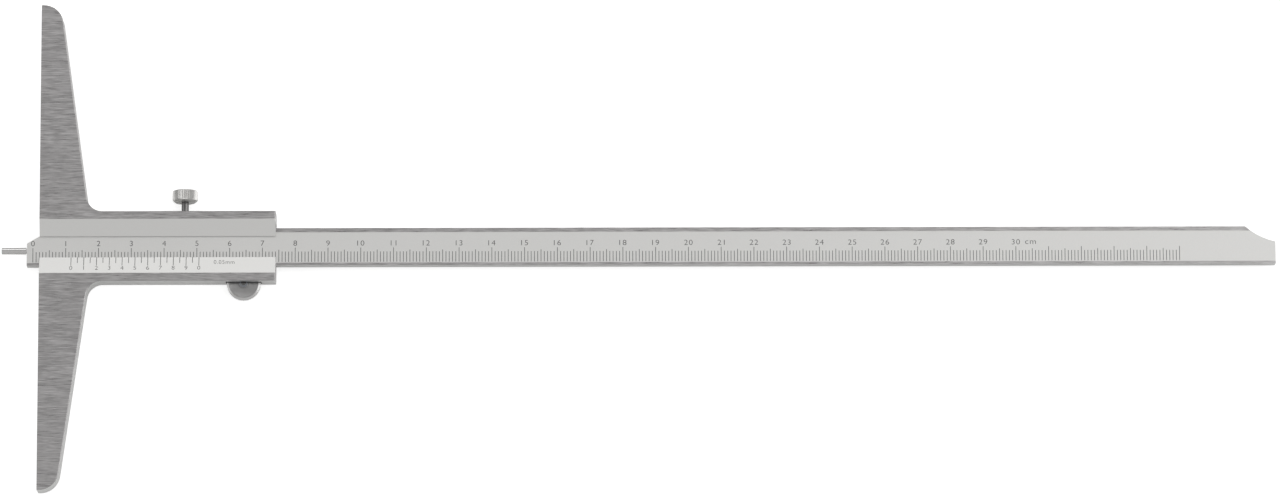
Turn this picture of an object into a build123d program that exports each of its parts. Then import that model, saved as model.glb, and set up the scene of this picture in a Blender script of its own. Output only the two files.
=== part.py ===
"""Vernier depth gauge, 300 mm, with a 150 mm bridge and a measuring pin.

The gauge lies on its back.  X runs along the beam towards its tail, Y runs across the beam towards
the lock screw, and Z rises out of the scale face.  X = 0 is the measuring face of the bridge, Y = 0 is
the middle of the beam and Z = 0 is the back of the bridge, on which the gauge rests.
"""
from build123d import *
import math
import os

# --- driving dimensions, millimetres -------------------------------------------------------------

# where the beam stands as modelled
reading = 11.7                  # how far the pin reaches past the measuring face

# bridge and slider, one steel body
bridge_span = 150.0
body_thickness = 8.0
tip_width = 5.9                 # width of a wing at its end, before the corner is rounded
tip_radius = 6.0
root_width = 14.9               # width of a wing where it meets the slider
root_radius = 4.8
slider_length = 72.0
rail_height = 5.05              # from the edge of the beam to the outside of the slider
edge_break = 0.25               # small chamfer round the outline
end_chamfer = 0.35              # chamfer at the slider's far end
back_wall = 2.0

# lips that hold the beam, and the window between them
window_height = 6.5
lip_edge = 0.3                  # thickness of each lip at the window
bevel_width = 5.1
sliding_gap = 0.05              # clearance of every sliding fit

# beam
beam_length = 381.2
beam_height = 11.5
beam_thickness = 3.8
upper_guide = 1.25              # ground strip along the upper edge
lower_guide = 0.8               # ground strip along the lower edge
scale_recess = 0.08             # depth of the scale face below the strips
nose_cut_length = 8.0
nose_cut_height = 4.6
tail_cut_length = 9.15
tail_cut_height = 4.65
tail_cut_radius = 19.5

# measuring pin
pin_diameter = 2.05
pin_reach = 7.8                 # length in front of the beam
pin_seat = 6.0                  # length inside the beam
pin_seat_diameter = 1.6
pin_drop = 0.9                  # below the middle of the beam
pin_chamfer = 0.15

# gib strip and the two screws that set it
gib_gap = 0.13                  # clearance to the beam while the lock is open
gib_thickness = 1.3
gib_back_gap = 0.12             # room behind the gib
gib_end_gap = 8.0               # from each end of the slider
set_screw_diameter = 2.0
set_screw_inset = 10.0          # from each end of the gib
set_screw_recess = 0.4
set_screw_slot = 0.4
set_screw_touch = 0.01          # the screws stop this far short of the gib

# lock screw
lock_place = 44.2
stud_diameter = 2.2
stud_tip_diameter = 1.6
stud_tip_length = 0.8
stud_play = 0.03                # radial clearance in the rail and in the gib
knob_diameter = 7.8
knob_height = 3.75
knob_gap = 3.15                 # between the rail and the knob
knob_top_chamfer = 0.4
knob_under_chamfer = 0.9
knob_bore_depth = 2.6

# thumb wheel, which rolls on the lower edge of the beam
wheel_from_end = 9.8            # from the slider's far end
wheel_radius = 5.2
wheel_gap = 0.04                # between the wheel and the beam
wheel_thickness = 2.0
wheel_drop = 0.65               # from the middle of the beam's edge towards the back
wheel_side_gap = 0.15           # between the wheel and each cheek
wheel_slot_gap = 0.2            # between the rim and the slot's ends
wheel_rim = 0.7
wheel_dish = 0.35               # depth of the hollow in each face
axle_diameter = 1.5
axle_play = 0.02

# sprung carrier of the wheel
cheek_thickness = 0.45
cheek_gap = 0.1                 # between the rear cheek and the slot's rear wall
front_room = 1.05               # between the front cheek and the slot's front wall
cheek_tab_radius = 1.3
carrier_reach = 11.2            # from the axle to the web
pivot_reach = 9.2               # from the axle to the pivot
carrier_top_gap = 0.35          # below the beam
carrier_height = 2.5
pivot_diameter = 1.2
pocket_end_gap = 0.4
pocket_floor = 0.9              # wall left under the pocket
spring_thickness = 0.2
spring_end_gap = 0.3            # between the spring and each end of its floor

# stop screw on the back of the beam
full_reading = 300.0
stop_head_diameter = 3.6
stop_head_height = 1.2
stop_shank_diameter = 1.8
stop_shank_length = 2.2
stop_slot_width = 0.5
stop_slot_depth = 0.5
stop_gap = 0.2                  # between the slider and the screw at the full reading

# --- places worked out from the sizes ------------------------------------------------------------

past = 1.0                      # how far a cutting tool runs past the face that it opens
half_span = bridge_span / 2
half_beam = beam_height / 2
half_slider = half_beam + rail_height
beam_back = back_wall + sliding_gap
beam_front = beam_back + beam_thickness
beam_middle = beam_back + beam_thickness / 2
lip_underside = beam_front + sliding_gap
nose_x = pin_reach - reading
tail_x = nose_x + beam_length
channel_low = -(half_beam + sliding_gap)
gib_low = half_beam + gib_gap
gib_high = gib_low + gib_thickness
channel_high = gib_high + gib_back_gap
gib_start = gib_end_gap
gib_end = slider_length - gib_end_gap
set_screw_places = (gib_start + set_screw_inset, gib_end - set_screw_inset)
wheel_place = slider_length - wheel_from_end
wheel_y = -(half_beam + wheel_gap + wheel_radius)
wheel_low = beam_middle - wheel_drop - wheel_thickness / 2
wheel_high = wheel_low + wheel_thickness
carrier_back = wheel_low - wheel_side_gap - cheek_thickness
carrier_front = wheel_high + wheel_side_gap + cheek_thickness
slot_low = carrier_back - cheek_gap
slot_high = carrier_front + front_room
carrier_high = -(half_beam + carrier_top_gap)
carrier_low = carrier_high - carrier_height
carrier_start = wheel_place - carrier_reach
pivot_place = wheel_place - pivot_reach
pivot_y = (carrier_high + carrier_low) / 2
pivot_end = (slot_high + body_thickness) / 2
pocket_low = -half_slider + pocket_floor
mouth_reach = wheel_radius + wheel_slot_gap


def block(x, y, z):
    """A box between two places along each axis."""
    size = Box(x[1] - x[0], y[1] - y[0], z[1] - z[0], align=(Align.MIN, Align.MIN, Align.MIN))
    return Pos(x[0], y[0], z[0]) * size


def rod(radius, start, end):
    """A round bar between two points."""
    line = Edge.make_line(start, end)
    plane = Plane(origin=start, z_dir=line.tangent_at(0))
    return plane * Cylinder(radius, line.length, align=(Align.CENTER, Align.CENTER, Align.MIN))


def at(shape, x, y):
    """The corners of a flat shape that lie at (x, y) and at (x, -y)."""
    return [v for v in shape.vertices() if abs(v.X - x) < 0.01 and abs(abs(v.Y) - y) < 0.01]


def bridge_outline():
    """The wings and the slider seen from the front."""
    upper = [
        (0, half_span),
        (tip_width, half_span),
        (root_width, half_slider),
        (slider_length, half_slider),
    ]
    lower = [(x, -y) for x, y in reversed(upper)]
    outline = make_face(Polyline(*upper, *lower, close=True))
    outline = fillet(at(outline, tip_width, half_span), tip_radius)
    return fillet(at(outline, root_width, half_slider), root_radius)


def window():
    """The opening over the scale, with its bevelled sides, run along the whole slider."""
    half = window_height / 2
    edge = lip_underside + lip_edge
    slope = (body_thickness - edge) / bevel_width
    outer = half + bevel_width + past / slope
    right = [(half, beam_middle), (half, edge), (outer, body_thickness + past)]
    left = [(-y, z) for y, z in reversed(right)]
    profile = Plane.YZ.offset(-past) * make_face(Polyline(*right, *left, close=True))
    return extrude(profile, slider_length + 2 * past)


def wheel_opening():
    """The slot for the thumb wheel and the closed pocket beside it for the carrier."""
    depth = (slot_low, slot_high)
    sides = (wheel_place - mouth_reach, wheel_place + mouth_reach)
    mouth = block(sides, (-half_slider - past, 0), depth)
    pocket = block((carrier_start - pocket_end_gap, wheel_place), (pocket_low, 0), depth)
    return mouth + pocket


def make_bridge_body():
    """Bridge and slider, milled from one piece of steel."""
    body = extrude(bridge_outline(), body_thickness)
    rims = body.edges().filter_by(Plane.XY)
    body = chamfer([e for e in rims if 0.01 < e.center().X < slider_length - 0.01], edge_break)
    far_end = [e for e in body.edges().filter_by(Axis.Y) if e.center().X > slider_length - 0.01]
    body = chamfer(far_end, end_chamfer)
    channel = (channel_low, channel_high)
    body -= block((-past, slider_length + past), channel, (back_wall, lip_underside))
    body -= window()
    body -= wheel_opening()
    for place in set_screw_places:
        start = (place, 0, beam_middle)
        body -= rod(set_screw_diameter / 2, start, (place, half_slider + past, beam_middle))
    start = (lock_place, 0, beam_middle)
    bore = stud_diameter / 2 + stud_play
    body -= rod(bore, start, (lock_place, half_slider + past, beam_middle))
    start = (pivot_place, pivot_y, -past)
    return body - rod(pivot_diameter / 2, start, (pivot_place, pivot_y, pivot_end))


def make_beam():
    """The graduated beam, with its cut nose and its hollowed tail corner."""
    nose = Polyline(
        (tail_x, -half_beam),
        (nose_x, -half_beam),
        (nose_x, half_beam - nose_cut_height),
        (nose_x + nose_cut_length, half_beam),
        (tail_x - tail_cut_length, half_beam),
    )
    corner = (tail_x, half_beam - tail_cut_height)
    hollow = RadiusArc((tail_x - tail_cut_length, half_beam), corner, -tail_cut_radius)
    end = Line(corner, (tail_x, -half_beam))
    outline = make_face(Curve() + [nose, hollow, end])
    beam = Pos(0, 0, beam_back) * extrude(outline, beam_thickness)
    face = (beam_front - scale_recess, beam_front + past)
    strips = (lower_guide - half_beam, half_beam - upper_guide)
    beam -= block((nose_x - past, tail_x + past), strips, face)
    start = (nose_x - past, -pin_drop, beam_middle)
    beam -= rod(pin_seat_diameter / 2, start, (nose_x + pin_seat, -pin_drop, beam_middle))
    start = (stop_x(), 0, beam_back - past)
    return beam - rod(stop_shank_diameter / 2, start, (stop_x(), 0, beam_back + stop_shank_length))


def make_measuring_pin():
    """The hardened pin, pressed into the nose of the beam."""
    shoulder = (nose_x, -pin_drop, beam_middle)
    pin = rod(pin_diameter / 2, (nose_x - pin_reach, -pin_drop, beam_middle), shoulder)
    pin = chamfer(pin.edges().filter_by(GeomType.CIRCLE).sort_by(Axis.X)[0], pin_chamfer)
    return pin + rod(pin_seat_diameter / 2, shoulder, (nose_x + pin_seat, -pin_drop, beam_middle))


def make_gib_strip():
    """The bronze strip between the beam and the upper rail, which the lock screw presses down."""
    depth = (back_wall + sliding_gap, lip_underside - sliding_gap)
    gib = block((gib_start, gib_end), (gib_low, gib_high), depth)
    bore = stud_tip_diameter / 2 + stud_play
    start = (lock_place, gib_high - stud_tip_length, beam_middle)
    return gib - rod(bore, start, (lock_place, gib_high + past, beam_middle))


def make_gib_set_screws():
    """Two slotted grub screws in the upper rail."""
    low = gib_high + set_screw_touch
    high = half_slider - set_screw_recess
    screws = []
    for place in set_screw_places:
        screw = rod(set_screw_diameter / 2, (place, low, beam_middle), (place, high, beam_middle))
        across = (place - set_screw_diameter, place + set_screw_diameter)
        depth = (beam_middle - set_screw_slot / 2, beam_middle + set_screw_slot / 2)
        screws.append(screw - block(across, (high - set_screw_slot, high + past), depth))
    return Compound(children=screws)


def make_lock_screw_knob():
    """The knurled head, drawn as a plain turned blank."""
    low = half_slider + knob_gap
    knob = rod(
        knob_diameter / 2,
        (lock_place, low, beam_middle),
        (lock_place, low + knob_height, beam_middle),
    )
    rims = knob.edges().filter_by(GeomType.CIRCLE).sort_by(Axis.Y)
    knob = chamfer(rims[0], knob_under_chamfer)
    knob = chamfer(knob.edges().filter_by(GeomType.CIRCLE).sort_by(Axis.Y)[-1], knob_top_chamfer)
    start = (lock_place, low - past, beam_middle)
    return knob - rod(stud_diameter / 2, start, (lock_place, low + knob_bore_depth, beam_middle))


def make_lock_screw_stud():
    """The threaded stud, from its pivot in the gib up into the knob."""
    shoulder = gib_high + set_screw_touch
    top = half_slider + knob_gap + knob_bore_depth
    stud = rod(stud_diameter / 2, (lock_place, shoulder, beam_middle), (lock_place, top, beam_middle))
    tip = gib_high - stud_tip_length + set_screw_touch
    return stud + rod(
        stud_tip_diameter / 2,
        (lock_place, tip, beam_middle),
        (lock_place, shoulder, beam_middle),
    )


def make_thumb_wheel():
    """The friction wheel, with a shallow hollow inside the rim of each face."""
    wheel = rod(
        wheel_radius,
        (wheel_place, wheel_y, wheel_low),
        (wheel_place, wheel_y, wheel_high),
    )
    hollow = wheel_radius - wheel_rim
    for face, outside in ((wheel_low, -past), (wheel_high, past)):
        inside = -math.copysign(wheel_dish, outside)
        start = (wheel_place, wheel_y, face + inside)
        wheel -= rod(hollow, start, (wheel_place, wheel_y, face + outside))
        hub_top = (wheel_place, wheel_y, face)
        wheel += rod(cheek_tab_radius, start, hub_top)
    bore = axle_diameter / 2 + axle_play
    start = (wheel_place, wheel_y, wheel_low - past)
    return wheel - rod(bore, start, (wheel_place, wheel_y, wheel_high + past))


def make_wheel_carrier():
    """The sheet yoke: two cheeks that hold the axle, joined by a web at the pivot end."""
    tab_side = (wheel_place - cheek_tab_radius, wheel_place + cheek_tab_radius)
    cheeks = []
    for low in (carrier_back, wheel_high + wheel_side_gap):
        depth = (low, low + cheek_thickness)
        arm = block((carrier_start, tab_side[1]), (carrier_low, carrier_high), depth)
        tab = block(tab_side, (wheel_y, carrier_low), depth)
        axle_end = (wheel_place, wheel_y, depth[0])
        boss = rod(cheek_tab_radius, axle_end, (wheel_place, wheel_y, depth[1]))
        cheeks.append(arm + tab + boss)
    thickness = (carrier_start, carrier_start + cheek_thickness)
    web = block(thickness, (carrier_low, carrier_high), (carrier_back, carrier_front))
    carrier = cheeks[0] + cheeks[1] + web
    start = (wheel_place, wheel_y, slot_low)
    carrier -= rod(axle_diameter / 2, start, (wheel_place, wheel_y, slot_high))
    start = (pivot_place, pivot_y, slot_low)
    return carrier - rod(pivot_diameter / 2, start, (pivot_place, pivot_y, slot_high))


def make_wheel_axle():
    """The axle, riveted flush into both cheeks."""
    return rod(
        axle_diameter / 2,
        (wheel_place, wheel_y, carrier_back),
        (wheel_place, wheel_y, carrier_front),
    )


def make_carrier_pin():
    """The pin on which the carrier tips, driven in from the back."""
    return rod(
        pivot_diameter / 2,
        (pivot_place, pivot_y, edge_break),
        (pivot_place, pivot_y, pivot_end),
    )


def make_wheel_spring():
    """The bowed leaf between the floor of the pocket and the carrier."""
    start = carrier_start - pocket_end_gap + spring_end_gap
    end = wheel_place - mouth_reach - spring_end_gap
    foot = pocket_low + spring_thickness / 2
    crown = ((start + end) / 2, carrier_low - spring_thickness / 2)
    bow = ThreePointArc((start, foot), crown, (end, foot))
    leaf = extrude(trace(bow, spring_thickness), carrier_front - carrier_back)
    leaf = Pos(0, 0, carrier_back) * leaf
    return leaf & block((start, end), (pocket_low, carrier_low), (0, body_thickness))


def stop_x():
    """Where the stop screw stands, so that its head meets the slider at the full reading."""
    travel = full_reading - reading
    return slider_length + stop_gap + stop_head_diameter / 2 + travel


def make_tail_stop_screw():
    """The slotted screw on the back of the beam that keeps the slider on it."""
    x = stop_x()
    head = rod(stop_head_diameter / 2, (x, 0, beam_back - stop_head_height), (x, 0, beam_back))
    shank = rod(stop_shank_diameter / 2, (x, 0, beam_back), (x, 0, beam_back + stop_shank_length))
    across = (x - stop_head_diameter, x + stop_head_diameter)
    width = (-stop_slot_width / 2, stop_slot_width / 2)
    bottom = beam_back - stop_head_height
    return head + shank - block(across, width, (bottom - past, bottom + stop_slot_depth))


parts = {
    "bridge_body": make_bridge_body(),
    "scale_beam": make_beam(),
    "measuring_pin": make_measuring_pin(),
    "tail_stop_screw": make_tail_stop_screw(),
    "gib_strip": make_gib_strip(),
    "gib_set_screws": make_gib_set_screws(),
    "lock_screw_knob": make_lock_screw_knob(),
    "lock_screw_stud": make_lock_screw_stud(),
    "thumb_wheel": make_thumb_wheel(),
    "wheel_carrier": make_wheel_carrier(),
    "wheel_carrier_pin": make_carrier_pin(),
    "wheel_axle": make_wheel_axle(),
    "wheel_spring": make_wheel_spring(),
}

os.makedirs("parts", exist_ok=True)
for name, shape in parts.items():
    export_step(shape, f"parts/{name}.step")
    print(f"{name}: {shape.volume:.1f} mm3, {len(shape.solids())} solid(s)")
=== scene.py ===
# %% [markdown]
# # A vernier depth gauge, built round its CAD frame
# The gauge has a long graduated beam that slides through a bridge. The bridge is a T of one piece of
# steel: two tapered wings and a slider with a window over the scale. A thin pin in the beam's nose
# feels the bottom of a hole. The CAD model gives every size and place, so this script only adds what
# CAD leaves out: knurls, turned faces, graduations, numbers and the finish of each metal.

# %% Load the frame and keep its box
import math
import bmesh
import bpy
from mathutils import Matrix, Vector


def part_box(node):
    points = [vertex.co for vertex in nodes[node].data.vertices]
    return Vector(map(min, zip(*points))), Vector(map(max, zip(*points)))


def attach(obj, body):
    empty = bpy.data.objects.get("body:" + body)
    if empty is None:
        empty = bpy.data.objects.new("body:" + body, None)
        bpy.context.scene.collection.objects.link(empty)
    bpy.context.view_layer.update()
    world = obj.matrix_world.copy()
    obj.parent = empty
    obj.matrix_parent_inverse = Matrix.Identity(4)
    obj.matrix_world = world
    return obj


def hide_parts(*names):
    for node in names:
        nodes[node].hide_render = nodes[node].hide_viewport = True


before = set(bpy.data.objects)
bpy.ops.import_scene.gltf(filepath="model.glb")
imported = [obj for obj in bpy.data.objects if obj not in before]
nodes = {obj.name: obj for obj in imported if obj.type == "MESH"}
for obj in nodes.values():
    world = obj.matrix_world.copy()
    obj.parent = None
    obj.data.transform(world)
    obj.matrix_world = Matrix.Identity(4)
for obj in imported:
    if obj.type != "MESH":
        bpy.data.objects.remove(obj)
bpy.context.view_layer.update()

MM = 0.001
print("CAD nodes:", ", ".join(sorted(nodes)))

# %% [markdown]
# ## The places that the pieces share
# X runs along the beam, Y across it towards the lock screw, and Z out of the scale face. Each place is
# read from a node's box. The bridge's measuring face is X = 0 and the beam's middle is Y = 0.

# %% Places, in millimetres
def box_mm(node):
    """Lowest and highest corner of a CAD node, in millimetres."""
    low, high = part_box(node)
    return low / MM, high / MM


bridge_low, bridge_high = box_mm("bridge_body")
beam_low, beam_high = box_mm("scale_beam")
knob_low, knob_high = box_mm("lock_screw_knob")
wheel_low, wheel_high = box_mm("thumb_wheel")
pin_low, pin_high = box_mm("measuring_pin")
knob_centre = (knob_low + knob_high) / 2
wheel_centre = (wheel_low + wheel_high) / 2
wheel_radius = (wheel_high.x - wheel_low.x) / 2

SCALE_RECESS = 0.08             # the scale lies this far below the beam's guide strips
LOWER_GUIDE = 0.8
UPPER_GUIDE = 1.25
SCALE_ZERO = 1.85               # from the nose to the zero line
WINDOW_HALF = 3.25              # from the beam's middle to the edge of each lip
LIP_TOP = 6.2
BEVEL_WIDTH = 5.1
VERNIER_ZERO = 9.65
SLIDER_EDGE = -10.8             # the slider's lower side
SLOT_END = 0.25                 # from the wheel's rim to the end of its slot
SLOT_LOW = 1.6                  # the rear wall of the wheel's slot
SLOT_HIGH = 5.95                # the front wall

scale_face = beam_high.z - SCALE_RECESS
scale_foot = beam_low.y + LOWER_GUIDE
scale_zero = beam_low.x + SCALE_ZERO
bevel_tilt = math.atan((bridge_high.z - LIP_TOP) / BEVEL_WIDTH)
print(f"scale face at Z {scale_face:.2f} mm, zero line at X {scale_zero:.2f} mm")
print(f"the window's sides slope at {math.degrees(bevel_tilt):.1f} degrees")

# %% [markdown]
# ## Camera
# A long lens a little over two metres away looks almost straight down on the gauge, tipped ten degrees
# so that the lower edge of each part just shows. A long lens keeps the scale's lines parallel.

# %% Camera
CAMERA_PLACE = Vector((167.33, -378.41, 2171.31))
CAMERA_LENS = 202.53
CAMERA_TURNS = (("Y", -0.419), ("X", 9.88), ("Z", -0.185))

camera_data = bpy.data.cameras.new("studio_camera")
camera_data.lens = CAMERA_LENS
camera_data.sensor_width = 36
camera_data.clip_start = 0.1
camera_data.clip_end = 20
camera = bpy.data.objects.new("studio_camera", camera_data)
bpy.context.scene.collection.objects.link(camera)
turn = Matrix.Identity(3)
for axis, degrees in CAMERA_TURNS:
    turn = turn @ Matrix.Rotation(math.radians(degrees), 3, axis)
camera.matrix_world = Matrix.Translation(CAMERA_PLACE * MM) @ turn.to_4x4()
bpy.context.scene.camera = camera
bpy.context.scene.view_settings.view_transform = "Standard"
print("camera looks along", [round(v, 3) for v in -camera.matrix_world.col[2].to_3d()])

# %% [markdown]
# ## Colours and nodes
# Finishes are given as ordinary screen colours, which a shader needs as linear light. One function adds
# any node: its settings go by name and its sockets take a number or another node's output.

# %% Colour and node helpers
def linear(hex_code):
    """A screen colour such as #c0c0c0 as linear red, green, blue and alpha."""
    shares = [int(hex_code[i:i + 2], 16) / 255 for i in (1, 3, 5)]
    return [s / 12.92 if s <= 0.04045 else ((s + 0.055) / 1.055) ** 2.4 for s in shares] + [1.0]


def add_node(tree, kind, sockets=None, **settings):
    """Adds a node to a tree, sets it up, and fills its sockets with values or links."""
    node = tree.nodes.new(kind)
    for name, value in settings.items():
        setattr(node, name, value)
    for socket, value in (sockets or {}).items():
        if isinstance(value, bpy.types.NodeSocket):
            tree.links.new(value, node.inputs[socket])
        else:
            node.inputs[socket].default_value = value
    return node


def size_of(millimetres):
    """The scale that gives a pattern features of a size in millimetres."""
    return 1 / (millimetres * MM)


def start_material(name, metallic=1.0, roughness=0.4):
    """An empty material with its shader and output, and the place on the piece."""
    material = bpy.data.materials.new(name)
    material.use_nodes = True
    tree = material.node_tree
    tree.nodes.clear()
    sockets = {"Metallic": metallic, "Roughness": roughness}
    shader = add_node(tree, "ShaderNodeBsdfPrincipled", sockets)
    add_node(tree, "ShaderNodeOutputMaterial", {"Surface": shader.outputs["BSDF"]})
    place = add_node(tree, "ShaderNodeTexCoord").outputs["Object"]
    return material, tree, shader, place


print("steel grey #b9b8b8 is", [round(v, 3) for v in linear("#b9b8b8")[:3]])

# %% [markdown]
# ## Floor and studio light
# A tool catalogue shows bare metal on a plain white table. Metal shows little but the things round it,
# so the lights are wide soft panels, and the dark gap straight above keeps the ground faces grey while
# the sloping sides of the window catch the panels and shine. A white table would wash out every side
# face, so the table is pale grey to the metal, and a glow that mostly the camera sees makes it white.

# %% Floor
SCENE_MIDDLE = Vector((0.18, 0, 0))     # metres, as the floor and the panels are
FLOOR_SIZE = 14
FLOOR_HEIGHT = -0.0002
SEEN_GLOW = 0.58                # extra light that only the camera sees
SOFT_GLOW = 0.07                # light that the metal sees too

bpy.ops.object.select_all(action="DESELECT")
bpy.ops.mesh.primitive_plane_add(size=FLOOR_SIZE, location=(SCENE_MIDDLE.x, 0, FLOOR_HEIGHT))
floor = bpy.context.object
floor.name = "studio_floor"
table_top, tree, shader, place = start_material("pale_table_top", metallic=0.0, roughness=0.6)
speckle = add_node(tree, "ShaderNodeTexNoise", {"Vector": place, "Scale": size_of(330)})
shade = add_node(tree, "ShaderNodeMix", {
    0: speckle.outputs["Fac"], 6: linear("#d9d9d8"), 7: linear("#dfdfde")}, data_type="RGBA")
tree.links.new(shade.outputs[2], shader.inputs["Base Color"])
seen = add_node(tree, "ShaderNodeLightPath").outputs["Is Camera Ray"]
glow = add_node(tree, "ShaderNodeMath", {
    0: seen, 1: SEEN_GLOW, 2: SOFT_GLOW}, operation="MULTIPLY_ADD")
shader.inputs["Emission Color"].default_value = linear("#ffffff")
tree.links.new(glow.outputs["Value"], shader.inputs["Emission Strength"])
floor.data.materials.append(table_top)
print("the table lies", round(-floor.location.z / MM, 2), "mm below the gauge")

# %% [markdown]
# The panels stand round the gauge like the soft boxes of a studio. The north one is the strongest, and
# lights the window's lower side; the east one, behind the tail, makes the scale lighter towards it.
# A plain grey room fills in the rest.

# %% Soft panels
PANELS = {                      # place and size in metres, power in watts
    "north_panel": ((0.35, 1.45, 1.25), (2.4, 1.0), 7.44),
    "south_panel": ((0.25, -1.15, 1.55), (2.0, 0.6), 1.5),
    "east_panel": ((2.1, 0.1, 1.0), (2.2, 1.5), 12.7),
    "west_panel": ((-1.7, 0.1, 1.0), (2.2, 1.5), 7.4),
    "over_panel": ((1.15, 0.35, 1.75), (0.9, 1.2), 4.0),
}
ROOM_STRENGTH = 0.513

for name, (spot, size, watts) in PANELS.items():
    light = bpy.data.lights.new(name, "AREA")
    light.shape = "RECTANGLE"
    light.size, light.size_y = size
    light.energy = watts
    panel = bpy.data.objects.new(name, light)
    panel.location = spot
    panel.rotation_euler = (SCENE_MIDDLE - Vector(spot)).to_track_quat("-Z", "Y").to_euler()
    panel.visible_camera = False
    bpy.context.scene.collection.objects.link(panel)
    print(f"{name}: {watts} W, {size[0]} x {size[1]} m")

room = bpy.data.worlds.new("studio_room")
bpy.context.scene.world = room
room.use_nodes = True
room.node_tree.nodes.clear()
room_light = add_node(room.node_tree, "ShaderNodeBackground", {
    "Color": linear("#ffffff"), "Strength": ROOM_STRENGTH})
add_node(room.node_tree, "ShaderNodeOutputWorld", {"Surface": room_light.outputs["Background"]})

# %% [markdown]
# ## Ground stainless steel
# The bridge is hardened stainless steel, ground flat on a surface grinder. The wheel leaves fine
# parallel scratches along its travel, here along X on the front, and they spread the reflection
# across themselves. The scratches are noise stretched along the travel: a fine set 0.3 mm apart and a
# coarse one 0.7 mm apart, drawn coarser than the real grit so that it shows. The window's sides are
# masked by place, because they are plated and matt. The narrow side faces are coloured lighter, a
# painted sheen for the light that they catch, and the slot of the thumb wheel is coloured dark, a
# painted shade for the shadow inside it.

# %% Scratches from grinding
SCRATCH_SETS = ((4, 0.3), (15, 0.7))    # length and spacing in millimetres, fine and coarse
COARSE_SHARE = 0.2                      # how much of the pattern the coarse set makes


def ground_scratches(tree, place, length, spacing, along="X"):
    """Noise drawn out into scratches of a length and spacing in millimetres."""
    fine = size_of(spacing)
    long = size_of(length)
    scale = (long, fine, fine) if along == "X" else (fine, long, fine)
    drawn = add_node(tree, "ShaderNodeMapping", {"Vector": place, "Scale": scale})
    noise = add_node(tree, "ShaderNodeTexNoise", {
        "Vector": drawn.outputs["Vector"], "Scale": 1.0, "Detail": 3.0, "Roughness": 0.6})
    clear = add_node(tree, "ShaderNodeMapRange", {
        "Value": noise.outputs["Fac"], "From Min": 0.3, "From Max": 0.7})
    return clear.outputs["Result"]


def calculate(tree, operation, first, second=0.0, third=0.0):
    """One sum on numbers or sockets."""
    node = add_node(tree, "ShaderNodeMath", {0: first, 1: second, 2: third}, operation=operation)
    return node.outputs["Value"]


def between(tree, value, low, high, soft=0.02):
    """1 where a value in metres lies between two places in millimetres, else 0."""
    above = add_node(tree, "ShaderNodeMapRange", {
        "Value": value, "From Min": (low - soft) * MM, "From Max": (low + soft) * MM})
    below = add_node(tree, "ShaderNodeMapRange", {
        "Value": value, "From Min": (high + soft) * MM, "From Max": (high - soft) * MM})
    return calculate(tree, "MULTIPLY", above.outputs["Result"], below.outputs["Result"])


def blend_colours(tree, share, first, second):
    """A mix of two colours or colour sockets by a share from 0 to 1."""
    node = add_node(tree, "ShaderNodeMix", {0: share, 6: first, 7: second}, data_type="RGBA")
    return node.outputs[2]


print("grinding scratches are drawn", " and ".join(f"{s} mm" for _, s in SCRATCH_SETS), "apart")

# %% [markdown]
# A ground face and a plated face share one piece of steel, so one function makes both looks and a mask
# chooses between them. Ground steel has a darker, sharper sheen with streaks; satin chrome is lighter
# and matt, with only a faint grain, because glare would hide the graduation lines.

# %% Ground steel with satin chrome where a mask asks for it
END_FACE = 0.75                 # a face is an end face when its normal has more X than this
SIDE_FACE = 0.3                 # and a side face when it has less Z than this
CLOUD_SIZE = 17                 # millimetres, as the grain and the depth are
CLOUD_SHARE = 0.35
CHROME_GRAIN = 0.15
SCRATCH_DEPTH = 0.006
GROUND_ROUGHNESS = (0.22, 0.24)     # how much the pattern adds, and the least
CHROME_ROUGHNESS = (0.08, 0.46)
LIP_REACH = 1                   # how far the window's mask reaches in over its lips
MASK_MARGIN = 0.1               # how far a mask reaches past the faces that it covers
WALL_MARGIN = 0.05              # the same, at the walls of the wheel's slot
EDGE_MARGIN = 0.03              # how far the slot's mask stays behind the slider's lower side


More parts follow.
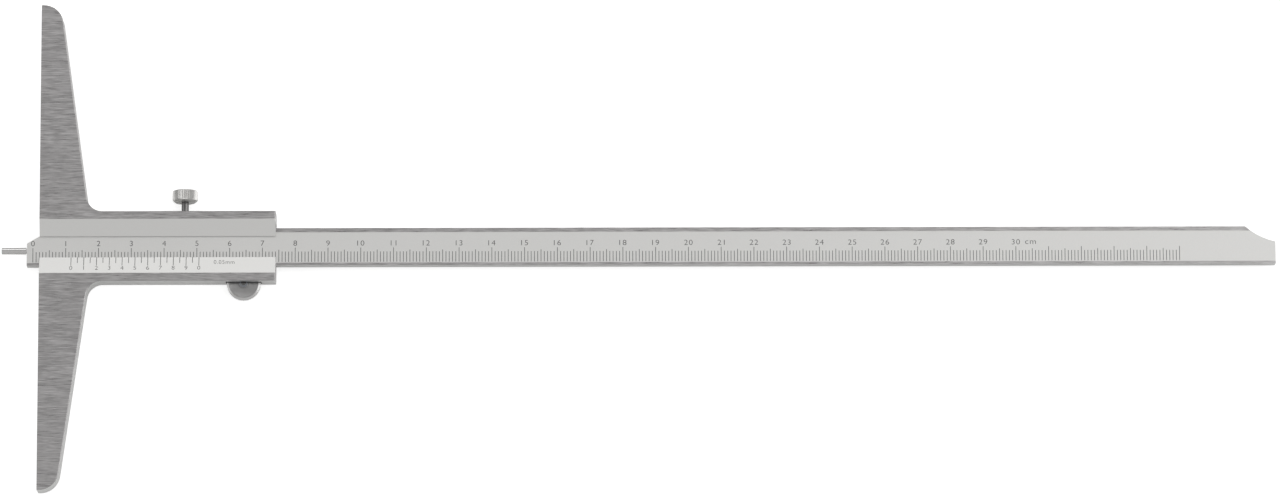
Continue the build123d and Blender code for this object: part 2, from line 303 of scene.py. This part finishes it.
def ground_and_plated(name, plated_mask, slot_shade_mask=None):
    """Ground steel with a painted sheen on its side faces, plated with satin chrome where one mask is 1
    and painted dark as shade where the other is 1.
    """
    material, tree, shader, place = start_material(name, roughness=0.4)
    normal = add_node(tree, "ShaderNodeSeparateXYZ", {
        0: add_node(tree, "ShaderNodeTexCoord").outputs["Normal"]})
    share_x = calculate(tree, "ABSOLUTE", normal.outputs["X"])
    share_z = calculate(tree, "ABSOLUTE", normal.outputs["Z"])
    facing_x = calculate(tree, "GREATER_THAN", share_x, END_FACE)
    side_sheen_mask = calculate(tree, "LESS_THAN", share_z, SIDE_FACE)
    streaks = []
    for length, spacing in SCRATCH_SETS:
        along_x = ground_scratches(tree, place, length, spacing, "X")
        along_y = ground_scratches(tree, place, length, spacing, "Y")
        turned = add_node(tree, "ShaderNodeMix", {0: facing_x, 2: along_x, 3: along_y})
        streaks.append(turned.outputs[0])
    coarse = calculate(tree, "MULTIPLY", streaks[1], COARSE_SHARE)
    scratch = calculate(tree, "MULTIPLY_ADD", streaks[0], 1 - COARSE_SHARE, coarse)
    clouds = add_node(tree, "ShaderNodeTexNoise", {
        "Vector": place, "Scale": size_of(CLOUD_SIZE), "Detail": 2.0})
    steel = blend_colours(tree, scratch, linear("#929090"), linear("#d3d1d1"))
    cloudy = calculate(tree, "MULTIPLY", clouds.outputs["Fac"], CLOUD_SHARE)
    steel = blend_colours(tree, cloudy, steel, linear("#afadac"))
    # painted sheen: the side faces get a lighter colour for the light that they catch
    bright = blend_colours(tree, scratch, linear("#cfcfce"), linear("#efefee"))
    steel = blend_colours(tree, side_sheen_mask, steel, bright)
    grain = add_node(tree, "ShaderNodeTexNoise", {
        "Vector": place, "Scale": size_of(CHROME_GRAIN), "Detail": 2.0})
    chrome = blend_colours(tree, grain.outputs["Fac"], linear("#d8d8d6"), linear("#e6e5e3"))
    # painted shade: the slot of the thumb wheel is coloured dark for the shadow inside it
    if slot_shade_mask:
        painted_slot_shade = slot_shade_mask(tree, place)
        steel = blend_colours(tree, painted_slot_shade, steel, linear("#4a4948"))
    mask = plated_mask(tree, place)
    colour = blend_colours(tree, mask, steel, chrome)
    tree.links.new(colour, shader.inputs["Base Color"])
    steel_rough = calculate(tree, "MULTIPLY_ADD", scratch, *GROUND_ROUGHNESS)
    chrome_rough = calculate(tree, "MULTIPLY_ADD", grain.outputs["Fac"], *CHROME_ROUGHNESS)
    rough = add_node(tree, "ShaderNodeMix", {0: mask, 2: steel_rough, 3: chrome_rough})
    tree.links.new(rough.outputs[0], shader.inputs["Roughness"])
    height = add_node(tree, "ShaderNodeMix", {
        0: mask, 2: scratch, 3: calculate(tree, "MULTIPLY", grain.outputs["Fac"], 0.3)})
    bump = add_node(tree, "ShaderNodeBump", {
        "Strength": 0.5, "Distance": SCRATCH_DEPTH * MM, "Height": height.outputs[0]})
    tree.links.new(bump.outputs["Normal"], shader.inputs["Normal"])
    print(f"{name}: {len(tree.nodes)} nodes")
    return material


def window_sides(tree, place):
    """1 on the sloping sides of the bridge's window."""
    _, y, z = add_node(tree, "ShaderNodeSeparateXYZ", {0: place}).outputs
    across = calculate(tree, "ABSOLUTE", y)
    near = between(tree, across, WINDOW_HALF - LIP_REACH, WINDOW_HALF + BEVEL_WIDTH)
    raised = between(tree, z, LIP_TOP - MASK_MARGIN, bridge_high.z + 1)
    return calculate(tree, "MULTIPLY", near, raised)


def scale_ground(tree, place):
    """1 on the graduated face, between the beam's two guide strips."""
    _, y, z = add_node(tree, "ShaderNodeSeparateXYZ", {0: place}).outputs
    inside = between(tree, y, scale_foot, beam_high.y - UPPER_GUIDE)
    level = between(tree, z, scale_face - MASK_MARGIN, scale_face + SCALE_RECESS / 2, 0.01)
    return calculate(tree, "MULTIPLY", inside, level)


def wheel_slot(tree, place):
    """1 inside the slot that holds the thumb wheel, where the painted shade goes."""
    x, y, z = add_node(tree, "ShaderNodeSeparateXYZ", {0: place}).outputs
    reach = wheel_radius + SLOT_END
    along = between(tree, x, wheel_centre.x - reach, wheel_centre.x + reach)
    across = between(tree, y, SLIDER_EDGE + EDGE_MARGIN, beam_low.y, 0.01)
    inside = calculate(tree, "MULTIPLY", along, across)
    deep = between(tree, z, SLOT_LOW - WALL_MARGIN, SLOT_HIGH + WALL_MARGIN)
    return calculate(tree, "MULTIPLY", inside, deep)


bridge_steel = ground_and_plated("bridge_ground_and_satin_chrome", window_sides, wheel_slot)
beam_steel = ground_and_plated("beam_ground_and_satin_chrome", scale_ground)

# %% [markdown]
# ## Turned steel
# The knob and the thumb wheel come off a lathe, whose tool leaves rings round the axis. The rings are a
# wave texture centred on the axis with a feed of 0.2 mm, and they draw a highlight out into a fan.
# The thumb wheel's rim is coloured brighter than its faces: partly the polish of fingers and a
# buffing wheel, partly a painted highlight for the light that its sloping edge catches.

# %% Turned steel
TURNED_FACE = 0.97              # a normal with less of the axis than this is on the rim, which is coloured lighter
RING_PERIOD = math.pi / 10      # from ring to ring in a wave texture whose scale is 1
STAIN_SIZE = 2.5                # millimetres


def turned_steel(name, colours, centre, axis, feed=0.2, roughness=0.25, depth=0.012, rim_polish_and_highlight=None):
    """Steel with tool rings round an axis through a centre in millimetres, and a rim coloured lighter:
    partly polish, partly a painted highlight.
    """
    material, tree, shader, place = start_material(name, roughness=roughness)
    centred = add_node(tree, "ShaderNodeMapping", {
        "Vector": place, "Location": [-c * MM for c in centre]})
    rings = add_node(tree, "ShaderNodeTexWave", {
        "Vector": centred.outputs["Vector"], "Scale": RING_PERIOD / (feed * MM),
        "Distortion": 0.3, "Detail": 1.0}, wave_type="RINGS", rings_direction=axis)
    clouds = add_node(tree, "ShaderNodeTexNoise", {
        "Vector": place, "Scale": size_of(STAIN_SIZE), "Detail": 3.0})
    colour = blend_colours(tree, clouds.outputs["Fac"], linear(colours[0]), linear(colours[1]))
    # the rim's lighter colour is partly polish and partly a painted highlight
    if rim_polish_and_highlight:
        normal = add_node(tree, "ShaderNodeSeparateXYZ", {
            0: add_node(tree, "ShaderNodeTexCoord").outputs["Normal"]})
        upright = calculate(tree, "ABSOLUTE", normal.outputs[axis])
        on_rim = calculate(tree, "LESS_THAN", upright, TURNED_FACE)
        colour = blend_colours(tree, on_rim, colour, linear(rim_polish_and_highlight))
    tree.links.new(colour, shader.inputs["Base Color"])
    rough = calculate(tree, "MULTIPLY_ADD", clouds.outputs["Fac"], 0.14, roughness - 0.07)
    tree.links.new(rough, shader.inputs["Roughness"])
    bump = add_node(tree, "ShaderNodeBump", {
        "Strength": 0.8, "Distance": depth * MM, "Height": rings.outputs["Fac"]})
    tree.links.new(bump.outputs["Normal"], shader.inputs["Normal"])
    print(f"{name}: tool rings {feed} mm apart")
    return material


knob_steel = turned_steel(
    "knob_turned_steel", ("#b8b7b5", "#d7d6d4"), knob_centre, "Y", roughness=0.28)
wheel_steel = turned_steel(
    "wheel_turned_steel", ("#9f9e9e", "#b9b8b7"), wheel_centre, "Z",
    roughness=0.3, depth=0.022, rim_polish_and_highlight="#d2d1d0")
pin_steel = turned_steel(
    "pin_lapped_steel", ("#c6c5c4", "#dcdbda"), (pin_low + pin_high) / 2, "X",
    feed=0.1, roughness=0.12, depth=0.001)
screw_steel = turned_steel(
    "screw_turned_steel", ("#5f5e5e", "#7e7d7c"), knob_centre, "Y", roughness=0.2)

# %% [markdown]
# ## Spring steel and bronze
# The yoke and the bowed leaf that press the thumb wheel up are stamped from blue-grey spring steel
# strip. The gib is sawn from phosphor bronze strip, because bronze slides on hard steel without
# scoring it. Both show the lengthwise scratches of rolled strip.

# %% Rolled strip metals
ROLLING_LINE = (8, 0.2)         # length and spacing in millimetres
STRIP_STAIN = 3.3


def rolled_strip(name, colours, roughness):
    """Strip metal with rolling lines along X."""
    material, tree, shader, place = start_material(name, roughness=roughness)
    lines = ground_scratches(tree, place, *ROLLING_LINE)
    stains = add_node(tree, "ShaderNodeTexNoise", {
        "Vector": place, "Scale": size_of(STRIP_STAIN), "Detail": 4.0})
    stained = calculate(tree, "MULTIPLY", stains.outputs["Fac"], 0.4)
    mixed = calculate(tree, "MULTIPLY_ADD", lines, 0.6, stained)
    colour = blend_colours(tree, mixed, linear(colours[0]), linear(colours[1]))
    tree.links.new(colour, shader.inputs["Base Color"])
    rough = calculate(tree, "MULTIPLY_ADD", mixed, 0.2, roughness - 0.1)
    tree.links.new(rough, shader.inputs["Roughness"])
    bump = add_node(tree, "ShaderNodeBump", {
        "Strength": 0.5, "Distance": 0.01 * MM, "Height": lines})
    tree.links.new(bump.outputs["Normal"], shader.inputs["Normal"])
    print(f"{name}: rolling lines {ROLLING_LINE[1]} mm apart")
    return material


spring_steel = rolled_strip("spring_steel_strip", ("#7b7e82", "#a8abaf"), 0.34)
bronze = rolled_strip("phosphor_bronze_strip", ("#9c6a3a", "#c99a63"), 0.38)

# %% [markdown]
# ## Finishes of the CAD pieces
# The bridge, the beam and the small parts keep their CAD shape, which is right already, so each only
# gets its metal. The knob, the thumb wheel and the pin need finer shapes, and are made anew below.

# %% Finishes of the CAD nodes
NODE_FINISH = {
    "bridge_body": bridge_steel,
    "scale_beam": beam_steel,
    "tail_stop_screw": screw_steel,
    "gib_strip": bronze,
    "gib_set_screws": screw_steel,
    "lock_screw_stud": screw_steel,
    "wheel_carrier": spring_steel,
    "wheel_carrier_pin": screw_steel,
    "wheel_axle": screw_steel,
    "wheel_spring": spring_steel,
}
for name, finish in NODE_FINISH.items():
    nodes[name].data.materials.clear()
    nodes[name].data.materials.append(finish)
    print(f"{name} is finished in {finish.name}")

# %% [markdown]
# ## Working on one piece at a time
# Each new piece starts as a primitive, and edit mode shapes it. These helpers open a piece for editing,
# choose faces or corners by their place, and close the piece: its place goes into its mesh, doubled
# corners merge, and its faces are turned outwards. Places inside a piece are in millimetres from the
# middle of the primitive that it started as.

# %% Modelling helpers
def open_piece(name):
    """Names the new primitive, and opens it in edit mode."""
    piece = bpy.context.object
    piece.name = piece.data.name = name
    bpy.ops.object.mode_set(mode="EDIT")
    return piece


def choose(piece, kind, wanted):
    """Selects only the faces ("FACE") or corners ("VERT") whose place passes a test."""
    bpy.ops.mesh.select_mode(type=kind)
    bpy.ops.mesh.select_all(action="DESELECT")
    shape = bmesh.from_edit_mesh(piece.data)
    items = shape.faces if kind == "FACE" else shape.verts
    for item in items:
        spot = item.calc_center_median() if kind == "FACE" else item.co
        item.select_set(bool(wanted(spot / MM)))
    shape.select_flush_mode()
    bmesh.update_edit_mesh(piece.data)
    return sum(1 for item in items if item.select)


def move(x=0, y=0, z=0):
    """Moves what is selected by millimetres."""
    bpy.ops.transform.translate(value=(x * MM, y * MM, z * MM))


def widen(share):
    """Scales what is selected across the piece's upright axis."""
    middle = bpy.context.object.matrix_world.translation
    bpy.ops.transform.resize(value=(share, share, 1), center_override=middle)


def close_piece(piece, finish, body, smooth=None):
    """Merges doubles, turns faces outwards, puts the place into the mesh, and lets it ride."""
    bpy.ops.object.mode_set(mode="EDIT")
    bpy.ops.mesh.select_all(action="SELECT")
    bpy.ops.mesh.remove_doubles(threshold=0.0005 * MM)
    bpy.ops.mesh.normals_make_consistent(inside=False)
    bpy.ops.object.mode_set(mode="OBJECT")
    bpy.ops.object.transform_apply(location=True, rotation=True, scale=True)
    if smooth:
        bpy.ops.object.shade_smooth_by_angle(angle=math.radians(smooth))
    piece.data.materials.clear()
    piece.data.materials.append(finish)
    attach(piece, body)
    piece.select_set(False)
    print(f"{piece.name}: {len(piece.data.polygons)} faces, rides on {body}")


def turn_end(piece, radius, height, steps):
    """Extrudes the end face at a height, ring by ring. Each step is a new radius and height."""
    choose(piece, "FACE", lambda p: abs(p.z - height) < 0.001 and p.xy.length < 0.01)
    for new_radius, new_height in steps:
        bpy.ops.mesh.extrude_region_move()
        move(z=new_height - height)
        widen(new_radius / radius)
        radius, height = new_radius, new_height


def press_teeth(piece, teeth, radius, depth):
    """Knurls a round wall: every second edge of the wall goes in by the depth."""
    step = math.pi / teeth

    def in_groove(p):
        turns = round(math.atan2(p.y, p.x) / step)
        return abs(p.xy.length - radius) < 0.001 and turns % 2 == 1

    count = choose(piece, "VERT", in_groove)
    widen((radius - depth) / radius)
    print(f"{piece.name}: {count} corners pressed in for {teeth} teeth")


print("helpers ready: open_piece, choose, move, widen, close_piece, turn_end, press_teeth")

# %% [markdown]
# ## The lock screw's knob
# A finger turns this knob, so its rim has a straight knurl of 48 teeth, pressed in by a roller. The top
# edge is rounded and the underside is turned back to a cone. It stands upright at its place as a
# cylinder of 96 sides. Its ends are extruded ring by ring, as a lathe tool would cut them, and every
# second side edge then goes in, which makes the teeth. They run out into the rounded edges as on a
# real knurl. Last, the knob is laid over onto its screw's axis.

# %% Knob
KNOB_TEETH = 48
KNOB_BAND = 2.45                # length of the knurled band
UNDER_CONE = 0.9                # height of the cone below the band
STUD_BORE = 1.11                # radius of the hole that the stud stands in
BORE_DEPTH = 2.6
KNOB_TOOTH = 0.26               # depth of the knurl

knob_radius = (knob_high.x - knob_low.x) / 2
top = knob_high.y - knob_low.y - UNDER_CONE - KNOB_BAND / 2
under = -UNDER_CONE - KNOB_BAND / 2
band_middle = Vector((knob_centre.x, knob_high.y - top, knob_centre.z))

bpy.ops.object.select_all(action="DESELECT")
bpy.ops.mesh.primitive_cylinder_add(
    vertices=2 * KNOB_TEETH, radius=knob_radius * MM, depth=KNOB_BAND * MM, location=band_middle * MM)
knob = open_piece("lock_knob_knurled")
turn_end(knob, knob_radius, KNOB_BAND / 2, [
    (3.8, top - 0.26), (3.68, top - 0.13), (3.5, top - 0.03), (3.3, top),
    (2.3, top), (2.15, top - 0.1), (0.45, top - 0.1), (0.25, top - 0.3), (0.04, top - 0.38)])
turn_end(knob, knob_radius, -KNOB_BAND / 2, [
    (3.72, under + 0.6), (3.1, under + 0.05), (3.0, under), (1.4, under),
    (STUD_BORE, under + 0.15), (STUD_BORE, under + BORE_DEPTH)])
press_teeth(knob, KNOB_TEETH, knob_radius, KNOB_TOOTH)
bpy.ops.object.mode_set(mode="OBJECT")
knob.rotation_euler = (-math.pi / 2, 0, 0)
close_piece(knob, knob_steel, "lock_screw", smooth=24)
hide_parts("lock_screw_knob")

# %% [markdown]
# ## The thumb wheel
# The thumb rolls this wheel, and its rim rolls on the beam's lower edge and drives the beam. The rim
# has a finer knurl of 60 teeth. Each face is turned: a sloping edge at the rim, a shallow cone that
# falls towards the middle, and a hub that comes back up to the face and holds the axle. The two
# bores meet in the middle, where their end faces go and their edges merge into one hole.

# %% Thumb wheel
WHEEL_TEETH = 60
RIM_BREAK = 0.28                # depth of the sloping edge
RIM_EDGE = 4.54                 # radius where the slope meets the face
AXLE_BORE = 0.77                # radius of the hole for the axle
WHEEL_TOOTH = 0.12              # depth of the knurl
wheel_half = (wheel_high.z - wheel_low.z) / 2

bpy.ops.object.select_all(action="DESELECT")
bpy.ops.mesh.primitive_cylinder_add(
    vertices=2 * WHEEL_TEETH, radius=wheel_radius * MM, depth=2 * (wheel_half - RIM_BREAK) * MM,
    location=wheel_centre * MM)
wheel = open_piece("thumb_wheel_knurled")
for side in (1, -1):
    turn_end(wheel, wheel_radius, side * (wheel_half - RIM_BREAK), [
        (RIM_EDGE, side * wheel_half), (RIM_EDGE - 0.08, side * wheel_half),
        (4.36, side * (wheel_half - 0.1)), (3.6, side * (wheel_half - 0.19)),
        (2.6, side * (wheel_half - 0.27)), (1.6, side * (wheel_half - 0.33)),
        (1.34, side * (wheel_half - 0.33)), (1.28, side * (wheel_half - 0.05)),
        (1.22, side * wheel_half), (AXLE_BORE, side * wheel_half), (AXLE_BORE, 0)])
choose(wheel, "FACE", lambda p: abs(p.z) < 0.001 and p.xy.length < 0.01)
bpy.ops.mesh.delete(type="ONLY_FACE")
press_teeth(wheel, WHEEL_TEETH, wheel_radius, WHEEL_TOOTH)
close_piece(wheel, wheel_steel, "wheel", smooth=20)
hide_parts("thumb_wheel")

# %% [markdown]
# ## The measuring pin
# The pin is hardened and lapped bright, with a broken edge at its tip and a fine undercut where it meets
# the beam's nose. It stands as a cylinder at its place, its ends are extruded ring by ring, and it
# is then laid over so that its tip points away from the beam. Its thin shank is pressed into the beam.

# %% Measuring pin
PIN_TIP_BREAK = 0.15            # width and height of the broken edge
PIN_UNDERCUT = 0.35             # from the pin's full width to the beam's nose
SHANK_RADIUS = 0.8

pin_radius = (pin_high.z - pin_low.z) / 2
pin_length = beam_low.x - PIN_UNDERCUT - pin_low.x - PIN_TIP_BREAK
pin_middle = (pin_low + pin_high) / 2
pin_middle.x = pin_low.x + PIN_TIP_BREAK + pin_length / 2
shank_end = pin_middle.x - pin_high.x

bpy.ops.object.select_all(action="DESELECT")
bpy.ops.mesh.primitive_cylinder_add(
    vertices=48, radius=pin_radius * MM, depth=pin_length * MM, location=pin_middle * MM)
pin = open_piece("measuring_pin_lapped")
turn_end(pin, pin_radius, pin_length / 2, [
    (pin_radius - PIN_TIP_BREAK, pin_length / 2 + PIN_TIP_BREAK),
    (0.3, pin_length / 2 + PIN_TIP_BREAK)])
turn_end(pin, pin_radius, -pin_length / 2, [
    (pin_radius - 0.05, -pin_length / 2 - 0.05), (SHANK_RADIUS, -pin_length / 2 - 0.05),
    (SHANK_RADIUS, shank_end)])
bpy.ops.object.mode_set(mode="OBJECT")
pin.rotation_euler = (0, -math.pi / 2, 0)
close_piece(pin, pin_steel, "beam", smooth=24)
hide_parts("measuring_pin")

# %% [markdown]
# ## Engraving paint
# Graduations are engraved, and black paint is wiped into the cuts. The paint stands level with the
# metal, so each line is a strip of paint a hundredth of a millimetre proud, narrow enough to read.

# %% Engraving paint
engraving_paint, tree, shader, place = start_material(
    "black_engraving_paint", metallic=0.0, roughness=0.55)
worn = add_node(tree, "ShaderNodeTexNoise", {"Vector": place, "Scale": size_of(0.4), "Detail": 2.0})
black = blend_colours(tree, worn.outputs["Fac"], linear("#242425"), linear("#4a4a4b"))
tree.links.new(black, shader.inputs["Base Color"])
print("engraving paint is matt, from #242425 to #4a4a4b")

# %% [markdown]
# ## The beam's millimetre scale
# The scale runs from 0 to 350 mm, with a longer line every 5 mm and a still longer one every 10 mm.
# One line is a thin block whose top is inset and lifted, as paint dries with a slight crown. Ten
# copies make a centimetre, two of them are drawn out longer, an Array modifier repeats the
# centimetre, and one last line closes the scale.

# %% Millimetre lines
LINE_WIDTH = 0.17
PAINT = 0.012                   # how far the paint stands up
LINE = {"millimetre": 3.2, "half": 3.75, "centimetre": 4.4}
LINE_FOOT = 0.25                # from the lower guide strip to the lines
LINE_CROWN = 0.03               # from a line's edge to its flat top
EDGE_DROP = 0.3                 # how far the edge lies down, as a share of the paint


def one_line(name, x, low, length, height):
    """One painted line from its foot upwards, open in edit mode, with all of it selected."""
    bpy.ops.object.select_all(action="DESELECT")
    bpy.ops.mesh.primitive_cube_add(
        size=1, location=(x * MM, (low + length / 2) * MM, (height + PAINT / 2) * MM))
    piece = open_piece(name)
    bpy.ops.transform.resize(value=(LINE_WIDTH * MM, length * MM, PAINT * MM))
    choose(piece, "FACE", lambda p: p.z > PAINT * 0.49)
    bpy.ops.mesh.inset(thickness=LINE_CROWN * MM)
    choose(piece, "VERT", lambda p: p.z > 0 and abs(p.x) > LINE_WIDTH * 0.49)
    move(z=-PAINT * EDGE_DROP)
    bpy.ops.mesh.select_all(action="SELECT")
    return piece


def repeat_along(piece, count, pitch):
    """Repeats a piece along X with an Array modifier, and applies it."""
    bpy.ops.object.mode_set(mode="OBJECT")
    array = piece.modifiers.new("repeat", "ARRAY")
    array.count = count
    array.use_relative_offset = False
    array.use_constant_offset = True
    array.constant_offset_displace = (pitch * MM, 0, 0)
    bpy.ops.object.modifier_apply(modifier=array.name)
    bpy.ops.object.mode_set(mode="EDIT")


def copy_line(piece, place, distance):
    """Copies the line at one place along X to another."""
    choose(piece, "VERT", lambda p: abs(p.x - place) < 0.2)
    bpy.ops.mesh.duplicate_move(TRANSFORM_OT_translate={"value": (distance * MM, 0, 0)})


def draw_out(piece, place, foot_to_top, extra):
    """Makes the line at one place longer at its upper end."""
    choose(piece, "VERT", lambda p: abs(p.x - place) < 0.2 and p.y > foot_to_top / 2 - 0.2)
    move(y=extra)


short = LINE["millimetre"]
beam_lines = one_line("beam_scale_lines", scale_zero, scale_foot + LINE_FOOT, short, scale_face)
for _ in range(9):
    bpy.ops.mesh.duplicate_move(TRANSFORM_OT_translate={"value": (MM, 0, 0)})
draw_out(beam_lines, 0, short, LINE["centimetre"] - short)
draw_out(beam_lines, 5, short, LINE["half"] - short)
repeat_along(beam_lines, 35, 10)
copy_line(beam_lines, 340, 10)
close_piece(beam_lines, engraving_paint, "beam")

# %% [markdown]
# ## The vernier's lines
# Twenty divisions of the vernier take 39 mm of the beam's scale, so each is 1.95 mm long and falls
# behind two of the beam's millimetres by a twentieth. Every second line is long and has a number. The
# lines are drawn flat, from the lip downwards, and the whole set is then tilted onto the window's
# lower side.

# %% Vernier lines
VERNIER_STEP = 1.95
LONG_LINE = 2.85
SHORT_LINE = 1.95


def tilt_onto_window_side(piece):
    """Lays a flat piece, drawn from Y = 0 downwards, on the window's lower side."""
    bpy.ops.object.mode_set(mode="OBJECT")
    bpy.ops.object.transform_apply(location=True, rotation=True, scale=True)
    piece.location = Vector((0, -WINDOW_HALF, LIP_TOP)) * MM
    piece.rotation_euler = (-bevel_tilt, 0, 0)


vernier_lines = one_line("vernier_lines", VERNIER_ZERO, -LONG_LINE, LONG_LINE, 0)
bpy.ops.mesh.duplicate_move(TRANSFORM_OT_translate={"value": (VERNIER_STEP * MM, 0, 0)})
choose(vernier_lines, "VERT", lambda p: p.x > VERNIER_STEP / 2 and p.y < 0)
move(y=LONG_LINE - SHORT_LINE)
repeat_along(vernier_lines, 10, 2 * VERNIER_STEP)
copy_line(vernier_lines, 18 * VERNIER_STEP, 2 * VERNIER_STEP)
tilt_onto_window_side(vernier_lines)
close_piece(vernier_lines, engraving_paint, "bridge")

# %% [markdown]
# ## Numbers on the beam
# The beam is numbered in centimetres. A text object gives each number, because its strokes have an even
# width, as an engraving cutter leaves them. It is thinned to a single stroke, becomes a mesh, and is
# scaled to its real height. All the numbers of one scale are then joined.

# %% Numbers
STROKE = -0.012                 # thins the letters, as a share of their size
LETTER_GAP = 1.12               # space between letters, as a share of the usual


def engrave(words, x, y, height, sample="8", stretch=1.12):
    """One engraved word as a mesh, centred at a place, with the height that its sample letter has."""
    bpy.ops.object.select_all(action="DESELECT")
    bpy.ops.object.text_add(location=(0, 0, 0))
    word = bpy.context.object
    word.data.body = sample
    word.data.offset = STROKE
    bpy.context.view_layer.update()
    share = height * MM / word.dimensions.y
    word.data.body = words
    word.data.resolution_u = 4
    word.data.space_character = LETTER_GAP
    word.data.extrude = PAINT * MM / share / 2
    bpy.ops.object.convert(target="MESH")
    word = bpy.context.object
    xs = [v.co.x for v in word.data.vertices]
    ys = [v.co.y for v in word.data.vertices]
    middle = Vector(((min(xs) + max(xs)) / 2, (min(ys) + max(ys)) / 2, 0))
    scale = Vector((share * stretch, share, share))
    word.scale = scale
    word.location = Vector((x * MM, y * MM, PAINT * MM / 2)) - middle * scale
    bpy.ops.object.transform_apply(location=True, rotation=True, scale=True)
    return word


def join_words(words, name):
    """Joins the words of one scale into one piece."""
    bpy.ops.object.select_all(action="DESELECT")
    for word in words:
        word.select_set(True)
    bpy.context.view_layer.objects.active = words[0]
    bpy.ops.object.join()
    words[0].name = words[0].data.name = name
    return words[0]


NUMBER_HEIGHT = 1.6
NUMBER_LINE = 1.1               # the numbers' middle, above the beam's middle
UNIT_PLACE = 304.5              # where "cm" stands on the scale
UNIT_HEIGHT = 1.1
UNIT_DROP = 0.15                # its middle lies this far below the numbers' middle

words = [engrave(str(n), scale_zero + 10 * n, NUMBER_LINE, NUMBER_HEIGHT) for n in range(31)]
words.append(engrave(
    "cm", scale_zero + UNIT_PLACE, NUMBER_LINE - UNIT_DROP, UNIT_HEIGHT, sample="m"))
beam_numbers = join_words(words, "beam_scale_numbers")
beam_numbers.location.z = scale_face * MM
close_piece(beam_numbers, engraving_paint, "beam")

# %% [markdown]
# ## Numbers on the vernier
# The vernier's long lines are numbered in tenths of a millimetre, below their lower ends. The words
# for its resolution stand to their right. They are drawn flat and tilted as the vernier's lines are.

# %% Vernier numbers
DIGIT_HEIGHT = 1.3
DIGIT_LINE = -3.68
NOTE_PLACE = (56.35, -1.7)      # middle of the words for the resolution

words = [
    engrave(str(n % 10), VERNIER_ZERO + 2 * VERNIER_STEP * n, DIGIT_LINE, DIGIT_HEIGHT)
    for n in range(11)]
words.append(engrave("0.05mm", *NOTE_PLACE, DIGIT_HEIGHT, stretch=0.95))
vernier_numbers = join_words(words, "vernier_numbers")
tilt_onto_window_side(vernier_numbers)
close_piece(vernier_numbers, engraving_paint, "bridge")
